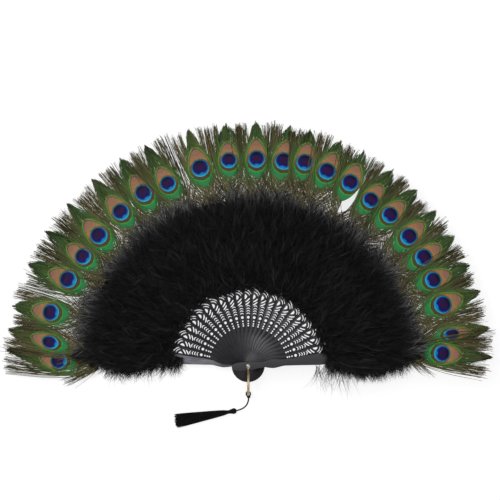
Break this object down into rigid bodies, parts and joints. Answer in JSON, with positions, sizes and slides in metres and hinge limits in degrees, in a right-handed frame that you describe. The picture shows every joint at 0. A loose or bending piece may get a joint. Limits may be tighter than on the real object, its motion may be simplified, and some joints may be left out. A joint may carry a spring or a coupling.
{
  "type": "feather fan",
  "caption": "Folding hand fan of pierced dark bamboo sticks on one rivet, with rows of black marabou down, a fringe of peacock eye feathers, and a wire bail with a tassel.",
  "frame": {"origin": "middle of the rivet's rear face, with the fan lying open on its back", "axes": "+Z along the rivet towards the front of the fan, +Y along the middle of the open fan, +X towards the front guard"},
  "size_m": [0.5181, 0.3252, 0.0456],
  "materials": {
    "painted_bamboo": "charcoal satin paint over fine bamboo grain, edges a little worn",
    "guard_bamboo": "charcoal satin paint over fine bamboo grain, a little more sheen on the guards",
    "peacock_feather": "green and bronze barbs with a blue, violet and copper eye",
    "marabou_down": "soft matt black down with fine loose barbs",
    "leaf_cloth": "matt blue-black woven cloth",
    "bail_brass": "bright drawn wire, lightly brushed",
    "rivet_steel": "bright peened head",
    "washer_steel": "dull steel",
    "tassel_cord": "twisted black cord",
    "tassel_thread": "black rayon threads with a soft sheen"
  },
  "bodies": {
    "fan_back": {"rear_guard": "guard_bamboo", "rivet_pin": "rivet_steel", "rivet_washer_rear": "washer_steel", "rivet_washer_front": "washer_steel", "leaf": "leaf_cloth", "marabou_front_inner": "marabou_down", "marabou_front_outer": "marabou_down", "marabou_back": "marabou_down", "eye_feather_00": "peacock_feather"},
    "stick_01": {"rib_01": "painted_bamboo", "eye_feather_01": "peacock_feather"},
    "stick_02": {"rib_02": "painted_bamboo", "eye_feather_02": "peacock_feather"},
    "stick_03": {"rib_03": "painted_bamboo", "eye_feather_03": "peacock_feather"},
    "stick_04": {"rib_04": "painted_bamboo", "eye_feather_04": "peacock_feather"},
    "stick_05": {"rib_05": "painted_bamboo", "eye_feather_05": "peacock_feather"},
    "stick_06": {"rib_06": "painted_bamboo", "eye_feather_06": "peacock_feather"},
    "stick_07": {"rib_07": "painted_bamboo", "eye_feather_07": "peacock_feather"},
    "stick_08": {"rib_08": "painted_bamboo", "eye_feather_08": "peacock_feather"},
    "stick_09": {"rib_09": "painted_bamboo"},
    "stick_10": {"rib_10": "painted_bamboo", "eye_feather_10": "peacock_feather"},
    "stick_11": {"rib_11": "painted_bamboo", "eye_feather_11": "peacock_feather"},
    "stick_12": {"rib_12": "painted_bamboo", "eye_feather_12": "peacock_feather"},
    "stick_13": {"rib_13": "painted_bamboo", "eye_feather_13": "peacock_feather"},
    "stick_14": {"rib_14": "painted_bamboo", "eye_feather_14": "peacock_feather"},
    "stick_15": {"rib_15": "painted_bamboo", "eye_feather_15": "peacock_feather"},
    "stick_16": {"rib_16": "painted_bamboo", "eye_feather_16": "peacock_feather"},
    "stick_17": {"rib_17": "painted_bamboo", "eye_feather_17": "peacock_feather"},
    "stick_18": {"rib_18": "painted_bamboo", "eye_feather_18": "peacock_feather"},
    "stick_19": {"rib_19": "painted_bamboo", "eye_feather_19": "peacock_feather"},
    "stick_20": {"rib_20": "painted_bamboo", "eye_feather_20": "peacock_feather"},
    "stick_21": {"rib_21": "painted_bamboo", "eye_feather_21": "peacock_feather"},
    "stick_22": {"rib_22": "painted_bamboo", "eye_feather_22": "peacock_feather"},
    "stick_23": {"rib_23": "painted_bamboo", "eye_feather_23": "peacock_feather"},
    "front_stick": {"front_guard": "guard_bamboo", "eye_feather_24": "peacock_feather"},
    "bail": {"bail": "bail_brass"},
    "tassel": {"tassel_cord": "tassel_cord", "tassel_head": "tassel_thread", "tassel_skirt": "tassel_thread"}
  },
  "joints": [
    {"name": "fan_fold", "type": "hinge", "parent": "fan_back", "child": "front_stick", "pos_m": [0, 0, 0], "axis": [0, 0, 1], "range_deg": [0, 169], "deforming": ["leaf", "marabou_front_inner", "marabou_front_outer", "marabou_back"]},
    {"name": "fold_01", "type": "hinge", "parent": "fan_back", "child": "stick_01", "pos_m": [0, 0, 0], "axis": [0, 0, 1], "range_deg": [0, 7.06]},
    {"name": "fold_02", "type": "hinge", "parent": "fan_back", "child": "stick_02", "pos_m": [0, 0, 0], "axis": [0, 0, 1], "range_deg": [0, 14.1]},
    {"name": "fold_03", "type": "hinge", "parent": "fan_back", "child": "stick_03", "pos_m": [0, 0, 0], "axis": [0, 0, 1], "range_deg": [0, 21.14]},
    {"name": "fold_04", "type": "hinge", "parent": "fan_back", "child": "stick_04", "pos_m": [0, 0, 0], "axis": [0, 0, 1], "range_deg": [0, 28.18]},
    {"name": "fold_05", "type": "hinge", "parent": "fan_back", "child": "stick_05", "pos_m": [0, 0, 0], "axis": [0, 0, 1], "range_deg": [0, 35.22]},
    {"name": "fold_06", "type": "hinge", "parent": "fan_back", "child": "stick_06", "pos_m": [0, 0, 0], "axis": [0, 0, 1], "range_deg": [0, 42.26]},
    {"name": "fold_07", "type": "hinge", "parent": "fan_back", "child": "stick_07", "pos_m": [0, 0, 0], "axis": [0, 0, 1], "range_deg": [0, 49.31]},
    {"name": "fold_08", "type": "hinge", "parent": "fan_back", "child": "stick_08", "pos_m": [0, 0, 0], "axis": [0, 0, 1], "range_deg": [0, 56.35]},
    {"name": "fold_09", "type": "hinge", "parent": "fan_back", "child": "stick_09", "pos_m": [0, 0, 0], "axis": [0, 0, 1], "range_deg": [0, 63.39]},
    {"name": "fold_10", "type": "hinge", "parent": "fan_back", "child": "stick_10", "pos_m": [0, 0, 0], "axis": [0, 0, 1], "range_deg": [0, 70.43]},
    {"name": "fold_11", "type": "hinge", "parent": "fan_back", "child": "stick_11", "pos_m": [0, 0, 0], "axis": [0, 0, 1], "range_deg": [0, 77.47]},
    {"name": "fold_12", "type": "hinge", "parent": "fan_back", "child": "stick_12", "pos_m": [0, 0, 0], "axis": [0, 0, 1], "range_deg": [0, 84.51]},
    {"name": "fold_13", "type": "hinge", "parent": "fan_back", "child": "stick_13", "pos_m": [0, 0, 0], "axis": [0, 0, 1], "range_deg": [0, 91.56]},
    {"name": "fold_14", "type": "hinge", "parent": "fan_back", "child": "stick_14", "pos_m": [0, 0, 0], "axis": [0, 0, 1], "range_deg": [0, 98.6]},
    {"name": "fold_15", "type": "hinge", "parent": "fan_back", "child": "stick_15", "pos_m": [0, 0, 0], "axis": [0, 0, 1], "range_deg": [0, 105.64]},
    {"name": "fold_16", "type": "hinge", "parent": "fan_back", "child": "stick_16", "pos_m": [0, 0, 0], "axis": [0, 0, 1], "range_deg": [0, 112.68]},
    {"name": "fold_17", "type": "hinge", "parent": "fan_back", "child": "stick_17", "pos_m": [0, 0, 0], "axis": [0, 0, 1], "range_deg": [0, 119.72]},
    {"name": "fold_18", "type": "hinge", "parent": "fan_back", "child": "stick_18", "pos_m": [0, 0, 0], "axis": [0, 0, 1], "range_deg": [0, 126.76]},
    {"name": "fold_19", "type": "hinge", "parent": "fan_back", "child": "stick_19", "pos_m": [0, 0, 0], "axis": [0, 0, 1], "range_deg": [0, 133.81]},
    {"name": "fold_20", "type": "hinge", "parent": "fan_back", "child": "stick_20", "pos_m": [0, 0, 0], "axis": [0, 0, 1], "range_deg": [0, 140.85]},
    {"name": "fold_21", "type": "hinge", "parent": "fan_back", "child": "stick_21", "pos_m": [0, 0, 0], "axis": [0, 0, 1], "range_deg": [0, 147.89]},
    {"name": "fold_22", "type": "hinge", "parent": "fan_back", "child": "stick_22", "pos_m": [0, 0, 0], "axis": [0, 0, 1], "range_deg": [0, 154.93]},
    {"name": "fold_23", "type": "hinge", "parent": "fan_back", "child": "stick_23", "pos_m": [0, 0, 0], "axis": [0, 0, 1], "range_deg": [0, 161.97]},
    {"name": "bail_swing", "type": "hinge", "parent": "fan_back", "child": "bail", "pos_m": [0, 0, 0], "axis": [0, 0, 1], "range_deg": [-78, 78]},
    {"name": "tassel_swing", "type": "hinge", "parent": "bail", "child": "tassel", "pos_m": [0, -0.0299, 0], "axis": [0, 0, 1], "range_deg": [-75, 100]}
  ],
  "couplings": [
    {"joint": "fold_01", "follows": "fan_fold", "ratio": 0.041667},
    {"joint": "fold_02", "follows": "fan_fold", "ratio": 0.083333},
    {"joint": "fold_03", "follows": "fan_fold", "ratio": 0.125},
    {"joint": "fold_04", "follows": "fan_fold", "ratio": 0.16667},
    {"joint": "fold_05", "follows": "fan_fold", "ratio": 0.20833},
    {"joint": "fold_06", "follows": "fan_fold", "ratio": 0.25},
    {"joint": "fold_07", "follows": "fan_fold", "ratio": 0.29167},
    {"joint": "fold_08", "follows": "fan_fold", "ratio": 0.33333},
    {"joint": "fold_09", "follows": "fan_fold", "ratio": 0.375},
    {"joint": "fold_10", "follows": "fan_fold", "ratio": 0.41667},
    {"joint": "fold_11", "follows": "fan_fold", "ratio": 0.45833},
    {"joint": "fold_12", "follows": "fan_fold", "ratio": 0.5},
    {"joint": "fold_13", "follows": "fan_fold", "ratio": 0.54167},
    {"joint": "fold_14", "follows": "fan_fold", "ratio": 0.58333},
    {"joint": "fold_15", "follows": "fan_fold", "ratio": 0.625},
    {"joint": "fold_16", "follows": "fan_fold", "ratio": 0.66667},
    {"joint": "fold_17", "follows": "fan_fold", "ratio": 0.70833},
    {"joint": "fold_18", "follows": "fan_fold", "ratio": 0.75},
    {"joint": "fold_19", "follows": "fan_fold", "ratio": 0.79167},
    {"joint": "fold_20", "follows": "fan_fold", "ratio": 0.83333},
    {"joint": "fold_21", "follows": "fan_fold", "ratio": 0.875},
    {"joint": "fold_22", "follows": "fan_fold", "ratio": 0.91667},
    {"joint": "fold_23", "follows": "fan_fold", "ratio": 0.95833}
  ]
}
